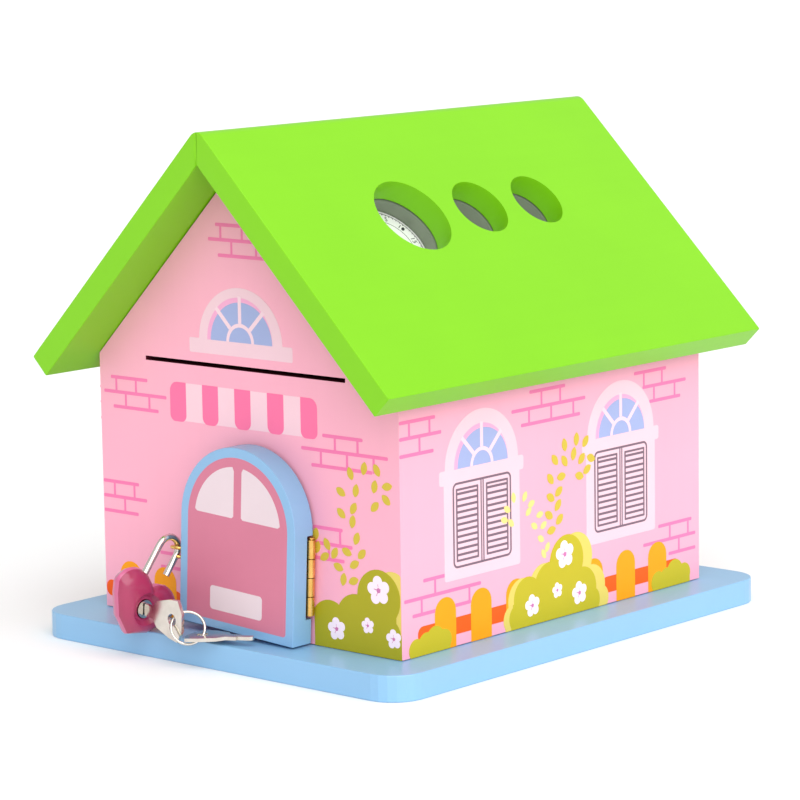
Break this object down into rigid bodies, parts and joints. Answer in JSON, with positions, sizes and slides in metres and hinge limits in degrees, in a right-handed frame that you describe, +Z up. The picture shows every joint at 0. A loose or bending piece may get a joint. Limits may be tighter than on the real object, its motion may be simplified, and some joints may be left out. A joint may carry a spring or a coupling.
{
  "type": "wooden money box",
  "caption": "House-shaped wooden money box with a pitched roof, a money slot, sprung coin tubes in the roof, a hinged arched door and a heart padlock with keys.",
  "frame": {"origin": "middle of the base board's underside", "axes": "+Z up, the front wall with the door faces -Y, +X to the right seen from the front"},
  "size_m": [0.17, 0.2179, 0.1814],
  "materials": {
    "base_paint": "sky blue satin paint on fibreboard",
    "wall_paint": "pink satin print on fibreboard",
    "roof_paint": "lime green satin paint on fibreboard",
    "door_paint": "blue satin paint with a pink print",
    "screw_steel": "zinc plated",
    "spring_steel": "drawn spring wire",
    "tube_plastic": "satin moulded",
    "plunger_plastic": "white with a printed dial",
    "brass": "polished brass plate",
    "lock_lacquer": "glossy magenta lacquer",
    "nickel": "bright nickel plate"
  },
  "bodies": {
    "house": {"base_board": "base_paint", "base_screw_1": "screw_steel", "base_screw_2": "screw_steel", "base_screw_3": "screw_steel", "base_screw_4": "screw_steel", "front_wall": "wall_paint", "back_wall": "wall_paint", "left_wall": "wall_paint", "right_wall": "wall_paint", "roof_left": "roof_paint", "roof_right": "roof_paint", "wall_hook": "brass", "hinge_wall_leaf": "brass", "hinge_pin": "brass", "hinge_wall_nail_1": "brass", "hinge_wall_nail_2": "brass", "coin_tube_large": "tube_plastic", "coin_tube_cap_large": "tube_plastic", "coin_spring_large": "spring_steel", "coin_tube_medium": "tube_plastic", "coin_tube_cap_medium": "tube_plastic", "coin_spring_medium": "spring_steel", "coin_tube_small": "tube_plastic", "coin_tube_cap_small": "tube_plastic", "coin_spring_small": "spring_steel"},
    "door": {"door": "door_paint", "hinge_door_leaf": "brass", "hinge_door_nail_1": "brass", "hinge_door_nail_2": "brass", "door_eye": "brass"},
    "shackle": {"shackle": "nickel"},
    "lock_body": {"lock_body": "lock_lacquer"},
    "lock_core": {"lock_core": "nickel", "lock_key": "nickel"},
    "key_ring": {"key_ring": "nickel"},
    "spare_key": {"spare_key": "nickel"},
    "coin_plunger_large": {"coin_plunger_large": "plunger_plastic"},
    "coin_plunger_medium": {"coin_plunger_medium": "plunger_plastic"},
    "coin_plunger_small": {"coin_plunger_small": "plunger_plastic"}
  },
  "joints": [
    {"name": "door_swing", "type": "hinge", "parent": "house", "child": "door", "pos_m": [0.03111, -0.0838, 0.03253], "axis": [0.0523, 0, 0.9986], "range_deg": [0, 96]},
    {"name": "padlock_swing", "type": "hinge", "parent": "door", "child": "shackle", "pos_m": [-0.0262, -0.088, 0.0364], "axis": [-1, 0, 0], "range_deg": [0, 10]},
    {"name": "shackle_close", "type": "slide", "parent": "shackle", "child": "lock_body", "axis": [0.1255, 0.5518, 0.8245], "range_m": [0, 0.004]},
    {"name": "key_turn", "type": "hinge", "parent": "lock_body", "child": "lock_core", "pos_m": [-0.02933, -0.10562, 0.01835], "axis": [-0.9921, 0.0694, 0.1045], "range_deg": [-50, 0]},
    {"name": "key_ring_swing", "type": "hinge", "parent": "lock_core", "child": "key_ring", "pos_m": [-0.01138, -0.10687, 0.01645], "axis": [0, 0, -1], "range_deg": [0, 20]},
    {"name": "spare_key_swing", "type": "hinge", "parent": "key_ring", "child": "spare_key", "pos_m": [-0.003, -0.1013, 0.0109], "axis": [0, 0, -1], "range_deg": [0, 24]},
    {"name": "coin_push_large", "type": "slide", "parent": "house", "child": "coin_plunger_large", "axis": [-0.7071, 0, -0.7071], "range_m": [0, 0.022], "stiffness_N_per_m": 60, "springref_m": -0.01, "deforming": ["coin_spring_large"]},
    {"name": "coin_push_medium", "type": "slide", "parent": "house", "child": "coin_plunger_medium", "axis": [-0.7071, 0, -0.7071], "range_m": [0, 0.022], "stiffness_N_per_m": 60, "springref_m": -0.01, "deforming": ["coin_spring_medium"]},
    {"name": "coin_push_small", "type": "slide", "parent": "house", "child": "coin_plunger_small", "axis": [-0.7071, 0, -0.7071], "range_m": [0, 0.022], "stiffness_N_per_m": 60, "springref_m": -0.01, "deforming": ["coin_spring_small"]}
  ]
}
